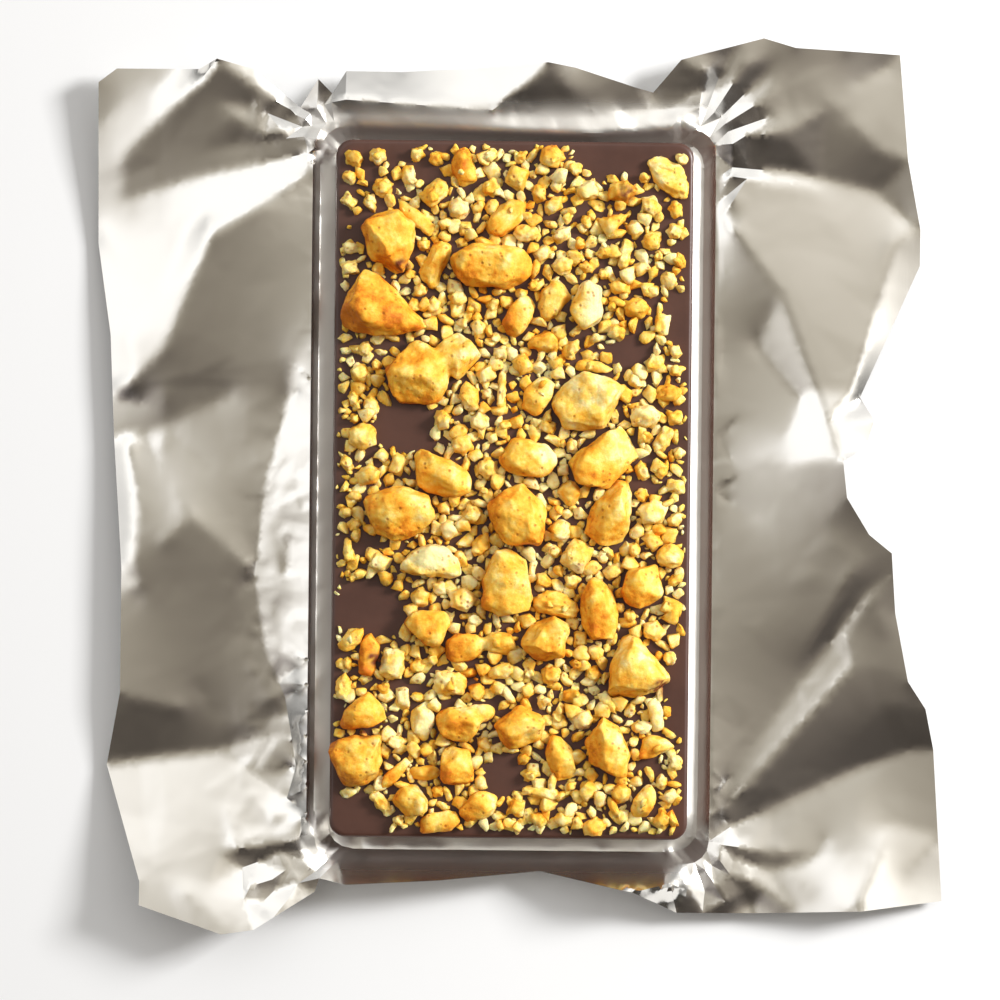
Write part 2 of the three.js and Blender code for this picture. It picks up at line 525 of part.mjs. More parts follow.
// All corner points of the sheet's facets: the tray first, then its creases, pleats and crumples
function foilPoints(edge, random) {
  const footReach = sides((side) => halfBar(side) + TRAY[side].foot);
  const foot = roundedBox(footReach, TRAY_CORNER_RADIUS, TRAY_STEP, sides(() => FOIL_THICKNESS));
  const crestReach = sides((side) => halfBar(side) + TRAY[side].crest);
  const crest = roundedBox(crestReach, TRAY_CORNER_RADIUS, TRAY_STEP, sides((side) => TRAY[side].height));
  crest.forEach((point) => {
    point[2] += around(random, CREST_WAVE);
  });
  const lip = crest
    .filter(([x, y]) => x < TRAY_CORNER_RADIUS - crestReach.left && Math.abs(y) < BAR_LENGTH / 2)
    .map(([x, y, z]) => [x - LEFT_LIP_WIDTH, y, z + LEFT_LIP]);
  const floor = [];
  for (let x = -FLOOR_STEP; x <= FLOOR_STEP; x += FLOOR_STEP) {
    for (let row = -FLOOR_ROWS; row <= FLOOR_ROWS; row += 1) {
      floor.push([x, row * FLOOR_STEP, FOIL_THICKNESS]);
    }
  }
  const creases = Object.values(CREASES).flat().flatMap((path) => alongPath(path, CREASE_STEP));
  const sheet = [...edge];
  const outside = (x, y) => {
    const fromTray = distanceOutside(x, y, crest);
    return fromTray > CREASE_CLEARANCE && distanceOutside(x, y, edge) < -CREASE_CLEARANCE;
  };
  const clear = (x, y, room) => [...sheet, ...lip].every(([sx, sy]) => Math.hypot(x - sx, y - sy) > room);
  const add = ([x, y, z], room) => {
    if (outside(x, y) && clear(x, y, room)) {
      sheet.push([x, y, z]);
    }
  };
  creases.forEach((point) => add(point, CREASE_CLEARANCE));
  cornerPleats([...sheet, ...crest]).forEach((point) => add(point, PLEAT_CLEARANCE));
  const creased = sheet.length;
  for (let i = 0; i < CRUMPLE_TRIES; i += 1) {
    const [x, y] = [around(random, SHEET_REACH), around(random, SHEET_REACH)];
    add([x, y, FOIL_LOWEST], CRUMPLE_CLEARANCE);
  }
  const firm = [...crest, ...lip, ...sheet.slice(0, creased)];
  return { flat: [...floor, ...foot], firm, loose: sheet.slice(creased) };
}

// Loose points take the mean height of their neighbours, round after round, until the sheet is drawn
// smoothly between its creases, and are then crumpled a little
function settle(points, facets, firmCount, random) {
  const neighbours = points.map(() => new Set());
  facets.forEach((corners) => {
    corners.forEach((from, k) => {
      const to = corners[(k + 1) % 3];
      neighbours[from].add(to);
      neighbours[to].add(from);
    });
  });
  const loose = points.map((_, i) => i).slice(firmCount);
  for (let round = 0; round < SETTLING_ROUNDS; round += 1) {
    loose.forEach((i) => {
      const heights = [...neighbours[i]].map((near) => points[near][2]);
      points[i][2] = heights.reduce((sum, height) => sum + height, 0) / heights.length;
    });
  }
  loose.forEach((i) => {
    points[i][2] += around(random, CRUMPLE_DEPTH);
  });
}

// The sheet as a thin solid: the facets' upper face, the same facets one thickness below, and the rim
function wrapper(random) {
  const edge = alongPath([...FOIL_EDGE, FOIL_EDGE[0]], EDGE_STEP).slice(0, -1);
  const { flat, firm, loose } = foilPoints(edge, random);
  const points = [...flat, ...firm, ...loose];
  const shaken = points.map(([x, y]) => [x + around(random, PLAN_SHAKE), y + around(random, PLAN_SHAKE)]);
  const facets = triangulate(shaken).filter((corners) => {
    const [x, y] = [0, 1].map((axis) => corners.reduce((sum, corner) => sum + points[corner][axis], 0) / 3);
    return distanceOutside(x, y, edge) < -SLIVER;
  });
  settle(points, facets, flat.length + firm.length, random);
  points.slice(flat.length).forEach((point) => {
    point[2] = Math.max(point[2], FOIL_LOWEST);
  });
  const upper = geometryFrom(points.flat(), facets.flat());
  upper.computeVertexNormals();
  const normal = upper.attributes.normal;
  const lower = points.map(([x, y, z], i) => {
    const along = i < flat.length ? [0, 0, 1] : [normal.getX(i), normal.getY(i), normal.getZ(i)];
    return [x, y, z].map((place, axis) => place - along[axis] * FOIL_THICKNESS);
  });
  const count = points.length;
  const triangles = facets.flatMap(([a, b, c]) => [a, b, c, a + count, c + count, b + count]);
  const rim = new Map();
  facets.forEach((corners) => {
    corners.forEach((from, k) => {
      const to = corners[(k + 1) % 3];
      if (!rim.delete(`${to} ${from}`)) {
        rim.set(`${from} ${to}`, [from, to]);
      }
    });
  });
  rim.forEach(([from, to]) => triangles.push(from, from + count, to + count, from, to + count, to));
  return geometryFrom([...points.flat(), ...lower.flat()], triangles);
}

function named(name, geometry, finish) {
  const mesh = new THREE.Mesh(geometry, new THREE.MeshStandardMaterial(finish));
  mesh.name = name;
  return mesh;
}

const random = randomStream(20);
const bar = new THREE.Group();
const lumpPlans = [];
LUMPS.forEach((lobes, i) => {
  const { geometry, plans } = makeLump(lobes, random);
  lumpPlans.push(...plans);
  const lump = named(`honeycomb_${String(i + 1).padStart(2, "0")}`, geometry, HONEYCOMB);
  lump.position.set(lobes[0].x, lobes[0].y, BAR_TOP + RESTING_GAP);
  lump.rotation.z = lobes[0].turn;
  bar.add(lump);
});
const bits = BITS.map((bit) => makeCrumb(bit, BIT_POINTS, BIT_LEVELS, random));
const crumbs = strewCrumbs(lumpPlans, bits.map(({ plan }) => plan), random);
const toppedSlab = joined([slab(), ...bits.map(({ skin }) => skin), ...crumbs]);
bar.add(named("chocolate_bar", toppedSlab, CHOCOLATE));

const part = new THREE.Group();
part.add(bar, named("foil_wrapper", wrapper(randomStream(7)), FOIL));
export default part;
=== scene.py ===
"""Looks of the honeycomb chocolate bar: lumps and crumbs of toffee on a milk chocolate slab, lying in its
opened foil wrapper. Lengths are in millimetres until a mesh is made, and then in metres, as the frame is."""
import math

import bmesh
import bpy
import numpy as np
from mathutils import Euler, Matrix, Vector, noise
from mathutils.bvhtree import BVHTree
from mathutils.geometry import delaunay_2d_cdt
from mathutils.kdtree import KDTree


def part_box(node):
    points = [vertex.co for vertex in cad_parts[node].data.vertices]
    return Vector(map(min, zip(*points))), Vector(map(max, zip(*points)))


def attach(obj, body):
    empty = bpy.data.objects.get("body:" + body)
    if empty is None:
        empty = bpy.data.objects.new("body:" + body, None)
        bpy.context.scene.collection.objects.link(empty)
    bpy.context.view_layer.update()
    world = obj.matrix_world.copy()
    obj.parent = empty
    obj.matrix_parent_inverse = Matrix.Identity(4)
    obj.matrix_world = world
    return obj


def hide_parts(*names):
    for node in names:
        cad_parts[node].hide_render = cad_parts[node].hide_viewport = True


MM = 0.001
SEED = 11
DOWN = Vector((0, 0, -1))

# Points nearer than this are one point: in a mesh, on lines in plan by digits, and in a triangulation
MERGE = 0.002
MERGE_DIGITS = 3
PLAN_MERGE = 1e-5

# What a triangulation in plan keeps: all of it, or what its lines enclose
WHOLE_HULL = 0
WITHIN_LINES = 1

# Where a mix node has its colours, behind its sockets for numbers and vectors
MIX_INPUTS = (0, 6, 7)
MIX_OUTPUT = 2

# How far out in the noise the seeded places may lie
NOISE_REACH = 50

# The photograph's frame: its width on the bar's top, the point in its middle, and the bar's lean in it
VIEW_WIDTH = 217.8
VIEW_CENTRE = (-2.5, -2.25)
VIEW_LEAN = math.radians(0.6)
CAMERA_LENS = 150
CAMERA_SENSOR = 36

# The slab, as in the solids, with a finer round on its edge
BAR_TOP = 6.82
BAR_FLOOR = 0.32
SLAB_EDGE = 0.9
SLAB_EDGE_STEPS = 5
SLAB_FOOT = 0.6
SLAB_DRAFT = 1.1
SLAB_CORNER = 3.5
SLAB_CORNER_STEPS = 8

# The slab's mesh: steps along its outline and over its top, and the room between the two
SLAB_OUTLINE_STEP = 1.5
SLAB_STEP = 1.0
SLAB_RIM_ROOM = 0.6

# The waves of its poured top: height, length, the slice of the noise, and how wide they fade at the edge
WAVE_HEIGHT = 0.07
WAVE_LENGTH = 9
WAVE_SLICE = 3.1
WAVE_FADE = 3

# The foil's thickness and mesh: steps on the flaps, round the tray and under the bar, how far the tray's
# step reaches out and in, where the bar's begins, the share of a step that points keep from a crease, how far
# they are off their places, and the height from which the solid is felt
FOIL_SHEET = 0.06
FOIL_STEP = 0.9
FOIL_TRAY_STEP = 0.5
FOIL_HIDDEN_STEP = 4.0
FOIL_TRAY_REACH = 9
FOIL_TRAY_UNDER = 2
FOIL_HIDDEN_MARGIN = 3
FOIL_ROOM = 0.55
GRID_SHAKE = 0.18
FOIL_RAY_START = 100

# What tells the parts of the foil's solid: a post of its rim is shorter than this, a face of its floor is
# more level than this, and a crease bends by more than this
RIM_POST = 0.5
LEVEL = 0.999
CREASE_ANGLE = math.radians(7.5)

# Rounds of smoothing: of the panels, of the creases where the foil is less crushed than a share, and of the
# tray's top wall. Edges that still bend by more than the angle are shaded sharp. The last two values keep
# thin triangles from upsetting the smoothing
FOIL_SMOOTHING = 120
CREASE_ROUNDING = 2
FIRM_SHARE = 0.3
TRAY_SOFTENING = 4
SHARP_ANGLE = math.radians(25)
THIN_TRIANGLE = 1e-6
LEAST_PULL = 1e-3

# The tray's walls: axis, side, and heights by the distance from the bar's edge
TRAY_WALLS = [
    (0, 1, [(0, 1.5), (2.4, 0.6), (2.6, 0.65), (4.9, 3.5), (5.8, 3.55)]),
    (0, -1, [(0, 3), (1, 3.12), (2, 3.32), (3, 3.66), (3.5, 3.92), (5, 6.8)]),
    (1, 1, [(0, 0.4), (0.5, 0.5), (2.9, 5.2), (4.4, 6.2)]),
    (1, -1, [(0, 0.5), (1, 0.6), (2, 0.78), (2.6, 0.92), (3.1, 0.95), (5.4, 3.8), (10.5, 11.3)]),
]

# Over how far the walls blend into the flaps and end at the corners, and how near the bar they stand in for
# the solid's creases
WALL_BLEND = 3
WALL_ENDS = 5
WALL_REACH = 6

# The top wall is drawn in towards the bar by a share, most at the second of three places along it
TOP_WALL = (1, 1)
TOP_PULL = 0.65
TOP_PULL_AT = (-36, 17, 39)

# Crumples of the foil: for each size of facet, its height on the calm panels and where the foil is crushed
CRUMPLES = [(17, 0.12, 0.3), (7, 0.045, 0.28), (2.8, 0.005, 0.14)]
CRUMPLE_START = 3
FACET_SHAKE = 0.42

# Where the foil is crushed: near the tray's corners, on its walls, and at its left below a place in plan
CORNER_REACH = 15
WALL_MIDDLE = 3.5
WALL_WIDTH = 2.5
WALL_SHARE = 0.35
LEFT_AT = -50
LEFT_WIDTH = 7
LEFT_TOP = 22
LEFT_FADE = 20

# The foil is dull to these distances from the bar's ends and sides, and less so at its lower end
DULL_ENDS = 5
DULL_SIDES = 2.6
DULL_LOWER_END = 0.5

# The foil's roughness where it is bright, and what dull foil adds to that and to the relief of its lines
FOIL_ROUGHNESS = 0.17
DULL_ROUGHNESS = 0.36
DULL_RELIEF = 6.0

# Honeycomb lumps: even mesh, softened edges, flat breaks with the share of the skin that each leaves,
# and broad and small unevenness as (size, height)
LUMP_VOXEL = 0.3
LUMP_SMOOTHING = 40
LUMP_SINK = 0.3
LUMP_BREAKS = 6
BREAK_LEAVES = (0.82, 0.96)
BREAK_SOFTENING = 10
LUMP_UNEVENNESS = [(6, 0.7), (2.5, 0.4), (1, 0.17)]

# How baked the toffee is, from cream at 0 to brown at 1: the lumps that stand out, and the ranges of the
# other lumps, the crumbs and the grit
LUMP_TONES = {
    "honeycomb_01": 0.6, "honeycomb_02": 0.66, "honeycomb_04": 0.6, "honeycomb_05": 0.28,
    "honeycomb_10": 0.54, "honeycomb_11": 0.08, "honeycomb_14": 0.62, "honeycomb_18": 0.32,
    "honeycomb_20": 0.7, "honeycomb_22": 0.08, "honeycomb_31": 0.08, "honeycomb_32": 0.75,
    "honeycomb_35": 0.75, "honeycomb_42": 0.08,
}
USUAL_TONES = (0.44, 0.62)
CRUMB_TONES = (0.12, 0.5)
GRIT_TONES = (0.06, 0.46)

# Painted shade: lumps are more orange towards their side in plan that is away from the key light
SHADED_SIDE = (-0.8, -0.6)
PAINTED_SHADE_LEAN = 0.24
# Painted shade: the upright sides of all toffee are more orange and mixed towards brown by these amounts
SIDE_SHADE_TONE = 0.22
SIDE_SHADE_BROWNING = 0.3
# How strong the soft patches of tone are
PATCH_CONTRAST = 2.4

# Bubble pits of the toffee: how many to a millimetre, the share that stays closed, and their painted shade
BUBBLES_PER_MM = 0.75
BUBBLES_CLOSED = 0.72
PIT_SHADE = 0.7

# Burnt spots on the toffee: x, y and reach, with a firm core and a ragged edge
BURNT = [(-24.3, 48.3, 2.2), (24.3, 64.9, 2.4), (32.8, -42.5, 2.6), (-29.1, -37.1, 2.4), (-31.5, -53, 1.6)]
BURNT_CORE = 1.4
BURNT_GRAIN = 1.1
BURNT_RAGGED = 1.5

# Crumbs that the solids have: the least height that tells one, how deep it sinks, and its break
CRUMB_LEAST = 0.05
CRUMB_SINK = 0.3
CRUMB_BREAK = {"cuts": 2, "softness": 0.3, "roughness": 0.6, "grain": 1.1}

# Small crumbs and grit on the free chocolate: count, largest, smallest, and the mesh's cuts
GRIT = [(1100, 4.4, 2, 1), (450, 2, 1, 0)]
GRIT_SHAPES = 24
GRIT_CORNERS = 16
GRIT_RADII = (0.7, 1)
GRIT_WIDTHS = (0.5, 0.9)
GRIT_HEIGHTS = (0.4, 0.7)
GRIT_BREAK = {"softness": 0.2, "roughness": 0.16, "grain": 0.3}
GRIT_TILT = 0.35
GRIT_SINK = 0.15

# Where grit can lie: tries for each piece, its share of room, and the chocolate's edge that stays free. Its
# feelers reach out by a share of its size, and only so many may touch what is higher than the clearance
GRIT_TRIES = 30
GRIT_ROOM = 0.33
GRIT_MARGIN = 0.5
GRIT_RAY_START = 30
FEELERS = 6
FEELER_REACH = 0.4
FEELER_CLEARANCE = 0.4
FEELERS_TOUCHING = 2
SIDE_THINNING = 0.55
TOP_THINNING = 0.6

# Grit that lies on larger pieces: how much, its sizes, and the heights and slope that it can lie on
HEAPED = 30
HEAPED_SIZES = (1.2, 2.8)
HEAPED_MARGIN = 3
HEAPED_REACH = 0.3
HEAPED_LEVELS = (0.8, 3.4)
HEAPED_SLOPE = 0.6

# Bare chocolate: ovals that hold no crumbs, each x, y and its two half sizes
BARE = [
    (-30.6, -26.4, 8.3, 7), (-23.3, 13.6, 7, 6), (-25.7, 31.5, 8.7, 1.5), (21.1, 71.8, 8.7, 3.4),
    (36.3, 37.8, 3.9, 6.1), (25.9, 30.3, 4.8, 3.9), (-18.1, 69, 3.9, 3), (-25.1, 73.3, 4, 2.2),
    (-32.3, -71.2, 7.6, 4.8), (-12.6, -75, 25, 1.6), (-0.8, -62.1, 4.8, 5.4), (30.3, -59.6, 3.5, 2),
    (36.4, -43.2, 2.4, 8.7), (-22.1, -43, 4.8, 2), (28, 1.2, 3.9, 1.6), (-31.8, -12.6, 3.9, 2.2),
]

# The studio's dome: the direction it brightens in, its light along that, and the share of it that the right
# and the left side add
DOME_AXIS = (-0.24, 0.97, 0)
DOME_DEPTH = [
    (0.0, (0.16, 0.145, 0.12, 1)),
    (0.14, (0.06, 0.052, 0.045, 1)),
    (0.26, (0.052, 0.044, 0.038, 1)),
    (0.36, (0.14, 0.12, 0.1, 1)),
    (0.43, (0.25, 0.222, 0.18, 1)),
    (0.5, (0.37, 0.338, 0.28, 1)),
    (0.58, (0.5, 0.465, 0.4, 1)),
    (0.68, (0.7, 0.67, 0.61, 1)),
    (0.78, (1.35, 1.33, 1.3, 1)),
]
DOME_RIGHT = [(0.06, (0, 0, 0, 1)), (0.22, (0.4, 0.41, 0.44, 1)), (0.6, (0.45, 0.46, 0.5, 1))]
DOME_LEFT = [(0.12, (0, 0, 0, 1)), (0.36, (0.95, 1.05, 1.3, 1)), (0.62, (1.7, 1.9, 2.4, 1))]

# The most light that the dome gives anywhere, and how it fades towards the horizon
DOME_MOST = (1.25, 1.25, 1.25)
HORIZON = [(0.0, (0.12, 0.12, 0.12, 1)), (0.4, (0.5, 0.5, 0.5, 1)), (0.72, (1, 1, 1, 1))]

# A softbox at the right: the direction it stands in, and the light that it adds towards that
SOFTBOX_AXIS = (0.95, 0.31, 0)
SOFTBOX = [(0.45, (0, 0, 0, 1)), (0.62, (0.9, 0.9, 0.88, 1))]

# The key light's place and size in metres, and its power in watts
KEY_PLACE = (0.8, 0.3, 0.5)
KEY_SIZE = 0.26
KEY_POWER = 13.6

# The floor's half size, and its grey
FLOOR_REACH = 1500
FLOOR_GREY = 0.82


def srgb(red, green, blue):
    """A linear colour from the usual 0 to 255 values."""
    def linear(value):
        share = value / 255
        return share / 12.92 if share <= 0.04045 else ((share + 0.055) / 1.055) ** 2.4
    return (linear(red), linear(green), linear(blue), 1.0)


def grey(level):
    return (level, level, level, 1.0)


def new_piece(name, points, faces):
    """A smooth mesh object from points in millimetres."""
    mesh = bpy.data.meshes.new(name)
    mesh.from_pydata((np.asarray(points, float) * MM).tolist(), [], faces)
    mesh.update()
    mesh.shade_smooth()
    piece = bpy.data.objects.new(name, mesh)
    bpy.context.scene.collection.objects.link(piece)
    return piece


def points_of(mesh):
    """A mesh's vertices in millimetres."""
    points = np.empty(len(mesh.vertices) * 3)
    mesh.vertices.foreach_get("co", points)
    return points.reshape(-1, 3) / MM


def normals_of(mesh):
    return np.array([vert.normal for vert in mesh.vertices])


def paint(piece, name, values):
    """A number for each vertex, for the materials to read."""
    attribute = piece.data.attributes.new(name, "FLOAT", "POINT")
    attribute.data.foreach_set("value", np.asarray(values, np.float32))


def dress(piece, slot, material, *nodes):
    """Puts the material on a piece that stands for the nodes, hangs it from the root and hides the nodes. The
    slot is not used.
    """
    piece.data.materials.clear()
    piece.data.materials.append(material)
    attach(piece, "root")
    if nodes:
        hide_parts(*nodes)


class Shader:
    """A node tree, built by short calls."""

    def __init__(self, tree):
        self.tree = tree

    def put(self, node, socket, value):
        if isinstance(value, bpy.types.NodeSocket):
            self.tree.links.new(value, node.inputs[socket])
        else:
            node.inputs[socket].default_value = value

    def set(self, node, **inputs):
        """Sets or links a node's inputs by name, with underscores for spaces."""
        for key, value in inputs.items():
            self.put(node, key.replace("_", " "), value)

    def surface(self, **inputs):
        self.set(self.tree.nodes["Principled BSDF"], **inputs)

    def node(self, kind, **inputs):
        made = self.tree.nodes.new("ShaderNode" + kind)
        self.set(made, **inputs)
        return made

    def place(self):
        return self.node("TexCoord").outputs["Object"]

    def attribute(self, name):
        made = self.node("Attribute")
        made.attribute_name = name
        return made.outputs["Fac"]

    def noise(self, vector, per_mm, detail=3.0, roughness=0.55):
        made = self.node("TexNoise", Vector=vector, Scale=per_mm / MM, Detail=detail, Roughness=roughness)
        return made.outputs["Fac"]

    def ramp(self, value, stops):
        made = self.node("ValToRGB", Fac=value)
        elements = made.color_ramp.elements
        while len(elements) < len(stops):
            elements.new(0.5)
        for element, (place, colour) in zip(elements, stops):
            element.position = place
            element.color = colour
        return made.outputs["Color"]

    def combined(self, kind, operation, values):
        made = self.node(kind)
        made.operation = operation
        for number, value in enumerate(values):
            self.put(made, number, value)
        return made.outputs

    def math(self, operation, *values):
        return self.combined("Math", operation, values)["Value"]

    def vector_math(self, operation, *values):
        return self.combined("VectorMath", operation, values)["Vector"]

    def along(self, direction, axis):
        """How far a direction points along an axis, from -1 to 1."""
        return self.combined("VectorMath", "DOT_PRODUCT", (direction, axis))["Value"]

    def mix(self, share, first, second):
        made = self.node("Mix")
        made.data_type = "RGBA"
        for socket, value in zip(MIX_INPUTS, (share, first, second)):
            self.put(made, socket, value)
        return made.outputs[MIX_OUTPUT]

    def bump(self, height, distance, strength):
        made = self.node("Bump", Height=height, Distance=distance * MM, Strength=strength)
        return made.outputs["Normal"]


def new_material(name):
    """A material, and the shader that builds its node tree."""
    material = bpy.data.materials.new(name)
    material.use_nodes = True
    return material, Shader(material.node_tree)


def honeycomb_material():
    """Baked sugar: cream to orange in soft patches, with burnt spots and painted shade in small bubble pits.
    """
    material, shader = new_material("honeycomb_toffee")
    place = shader.place()
    patches = shader.noise(place, per_mm=0.2, detail=6.0, roughness=0.65)
    shift = shader.math("MULTIPLY_ADD", patches, PATCH_CONTRAST, -PATCH_CONTRAST / 2)
    # Painted shade is in the tone too: on upright sides and on each lump's side away from the key light
    tone_colour = shader.ramp(shader.math("ADD", shader.attribute("tone"), shift), [
        (0.0, srgb(254, 236, 170)),
        (0.3, srgb(253, 212, 108)),
        (0.55, srgb(250, 190, 66)),
        (0.8, srgb(243, 160, 38)),
        (1.0, srgb(212, 120, 22)),
    ])
    bubbles = shader.node("TexVoronoi", Vector=place, Scale=BUBBLES_PER_MM / MM)
    chance = shader.node("SeparateColor", Color=bubbles.outputs["Color"]).outputs["Red"]
    hole = shader.ramp(bubbles.outputs["Distance"], [(0.08, grey(1)), (0.34, grey(0))])
    pits = shader.math("MULTIPLY", hole, shader.math("GREATER_THAN", chance, BUBBLES_CLOSED))
    # Painted shade: the bubble pits are darkened towards a deep orange
    pitted = shader.mix(shader.math("MULTIPLY", pits, PIT_SHADE), tone_colour, srgb(176, 98, 24))
    grain = shader.noise(place, per_mm=1.8, detail=5.0, roughness=0.65)
    shader.surface(
        # Mixed towards brown where burnt, and as painted shade on the upright sides
        Base_Color=shader.mix(shader.attribute("browned"), pitted, srgb(118, 58, 28)),
        Roughness=0.6,
        Specular_IOR_Level=0.25,
        Subsurface_Weight=0.4,
        Subsurface_Radius=(1.0, 0.5, 0.15),
        Subsurface_Scale=1.2 * MM,
        Normal=shader.bump(shader.math("SUBTRACT", grain, pits), distance=0.25, strength=0.8),
    )
    return material


def chocolate_material():
    """Milk chocolate with a soft sheen and a faint grain."""
    material, shader = new_material("milk_chocolate")
    place = shader.place()
    patches = shader.noise(place, per_mm=0.12)
    grain = shader.noise(place, per_mm=0.9, detail=4.0)
    shader.surface(
        Base_Color=shader.ramp(patches, [(0.3, srgb(72, 45, 36)), (0.7, srgb(82, 53, 43))]),
        Roughness=0.36,
        Normal=shader.bump(grain, distance=0.03, strength=0.6),
    )
    return material


def foil_material():
    """Bright aluminium foil with faint rolling lines, duller where the tray's walls are finely crinkled."""
    material, shader = new_material("wrapper_foil")
    place = shader.place()
    stretched = shader.node("Mapping", Vector=place, Scale=(1.0, 0.03, 0.3)).outputs["Vector"]
    rolled = shader.noise(stretched, per_mm=3.0, detail=5.0, roughness=0.7)
    crinkled = shader.attribute("crinkled")
    fine = shader.math("MULTIPLY", shader.noise(place, per_mm=0.9, detail=4.0, roughness=0.6), crinkled)
    relief = shader.math("MULTIPLY_ADD", fine, DULL_RELIEF, rolled)
    shader.surface(
        Base_Color=srgb(240, 237, 231),
        Metallic=1.0,
        Roughness=shader.math("MULTIPLY_ADD", crinkled, DULL_ROUGHNESS, FOIL_ROUGHNESS),
        Normal=shader.bump(relief, distance=0.02, strength=0.16),
    )
    return material


def floor_material():
    material, shader = new_material("pale_floor")
    shader.surface(Base_Color=grey(FLOOR_GREY), Roughness=0.9)
    return material


def sides_of(outline):
    """The sides of a closed outline, each as its two ends."""
    return zip(outline, np.roll(outline, -1, axis=0))


def inside(points, outline):
    """Which plan points lie inside a closed outline."""
    result = np.zeros(len(points), bool)
    x, y = points[:, 0], points[:, 1]
    for (ax, ay), (bx, by) in sides_of(outline):
        crosses = (ay > y) != (by > y)
        if by != ay:
            result ^= crosses & (x < (bx - ax) * (y - ay) / (by - ay) + ax)
    return result


def along_outline(outline, step):
    """The outline with points no further than about a step apart."""
    points = []
    for a, b in sides_of(outline):
        pieces = max(1, round(float(np.hypot(*(b - a))) / step))
        points.extend(a + (b - a) * (np.arange(pieces) / pieces)[:, None])
    return np.array(points)


def from_box(plan, half):
    """How far plan points lie outside the bar's own edges, 0 within them."""
    return np.hypot(*np.maximum(np.abs(plan) - half, 0).T)


def hex_grid(low, high, step, draw, shake):
    """Plan points in staggered rows, each a little off its place."""
    rows = np.arange(low[1], high[1], step * math.sqrt(0.75))
    points = []
    for number, y in enumerate(rows):
        xs = np.arange(low[0] + (number % 2) * step / 2, high[0], step)
        points.append(np.column_stack([xs, np.full(len(xs), y)]))
    points = np.concatenate(points)
    return points + draw.uniform(-shake, shake, points.shape) * step


def square_grid(low, high, step):
    """Plan points in straight rows and columns."""
    rows, columns = np.meshgrid(*(np.arange(a, b + step / 2, step) for a, b in zip(low, high)))
    return np.column_stack([rows.ravel(), columns.ravel()])


def away_from(points, others, room):
    """Those plan points that keep their distance from all the others."""
    tree = KDTree(len(others))
    for number, (x, y) in enumerate(others):
        tree.insert((x, y, 0), number)
    tree.balance()
    return points[[tree.find((x, y, 0))[2] > room for x, y in points]]


def triangulated(plan, pairs, kept):
    """Plan points, the triangles between them that keep the paired lines, and what each point came from."""
    cut = delaunay_2d_cdt([Vector(point) for point in plan], pairs, [], kept, PLAN_MERGE)
    return np.array([tuple(vert) for vert in cut[0]]), cut[2], cut[3]


def heights_on(tree, plan):
    """The height of a skin at plan points, or of its nearest place for points off its edge."""
    found = np.empty(len(plan))
    for i, (x, y) in enumerate(plan):
        hit = tree.ray_cast(Vector((x, y, FOIL_RAY_START)), DOWN)[0]
        hit = hit or tree.find_nearest(Vector((x, y, 0)))[0]
        found[i] = hit.z
    return found


def vertex_normals(points, faces):
    a, b, c = (points[faces[:, k]] for k in range(3))
    across = np.cross(b - a, c - a)
    normals = np.zeros_like(points)
    for k in range(3):
        np.add.at(normals, faces[:, k], across)
    return normals / np.linalg.norm(normals, axis=1)[:, None]


def boundary(faces):
    """The edges of one face only, in that face's direction."""
    sides = np.concatenate([faces[:, [0, 1]], faces[:, [1, 2]], faces[:, [2, 0]]]).tolist()
    known = {(a, b) for a, b in sides}
    return [(a, b) for a, b in sides if (b, a) not in known]


def sheet_piece(name, upper, faces, thickness):
    """A thin sheet that hangs from its upper skin and is closed along its rim."""
    lower = upper - vertex_normals(upper, faces) * thickness
    count = len(upper)
    rim = [(a, a + count, b + count, b) for a, b in boundary(faces)]
    all_faces = faces.tolist() + (faces[:, ::-1] + count).tolist() + rim
    return new_piece(name, np.concatenate([upper, lower]), all_faces)


def walked(following):
    """A closed round in order, from what follows each of its members."""
    first = here = next(iter(following))
    order = []
    while not order or here != first:
        order.append(here)
        here = following[here]
    return order


def foil_skin(mesh):
    """The foil solid's upper skin: its outline, its creases as pairs of points, and a tree of its faces.
    The rim is known by its short posts, and the skin is what can be reached from the floor under the bar."""
    bm = bmesh.new()
    bm.from_mesh(mesh)
    bmesh.ops.scale(bm, vec=Vector((1, 1, 1)) / MM, verts=bm.verts)
    bmesh.ops.remove_doubles(bm, verts=bm.verts, dist=MERGE)
    bm.normal_update()
    posts = [edge for edge in bm.edges if edge.calc_length() < RIM_POST]
    rim = {face for post in posts for face in post.link_faces}
    level_faces = [face for face in bm.faces if face.normal.z > LEVEL and face not in rim]
    start = min(level_faces, key=lambda face: face.calc_center_median().xy.length)
    skin = {start}
    queue = [start]
    creases, border = [], {}
    while queue:
        face = queue.pop()
        for loop in face.loops:
            edge = loop.edge
            other = next(near for near in edge.link_faces if near != face)
            if other in rim:
                border[loop.vert] = loop.link_loop_next.vert
                continue
            if edge.calc_face_angle() > CREASE_ANGLE:
                creases.append(tuple(vert.co.copy() for vert in edge.verts))
            if other not in skin:
                skin.add(other)
                queue.append(other)
    outline = np.array([tuple(vert.co) for vert in walked(border)])
    number = {vert: i for i, vert in enumerate({vert for face in skin for vert in face.verts})}
    corners = [[number[vert] for vert in face.verts] for face in skin]
    tree = BVHTree.FromPolygons([vert.co.copy() for vert in number], corners)
    bm.free()
    return outline, creases, tree


class Lines:
    """Points joined by lines that the sheet's triangles have to keep."""

    def __init__(self):
        self.points = []
        self.pairs = []
        self.known = {}

    def point(self, place):
        key = tuple(round(value, MERGE_DIGITS) for value in place[:2])
        if key not in self.known:
            self.known[key] = len(self.points)
            self.points.append(place)
        return self.known[key]

    def join(self, a, b, step):
        a, b = np.array(a), np.array(b)
        pieces = max(1, round(math.dist(a[:2], b[:2]) / step))
        stops = [self.point(a + (b - a) * k / pieces) for k in range(pieces + 1)]
        self.pairs.extend((one, two) for one, two in zip(stops, stops[1:]) if one != two)


def in_wall(place, half):
    """Whether a place lies in one of the tray's walls, between its corners."""
    out = np.abs(place[:2]) - half
    return out.max() < WALL_REACH and out.min() < -WALL_ENDS


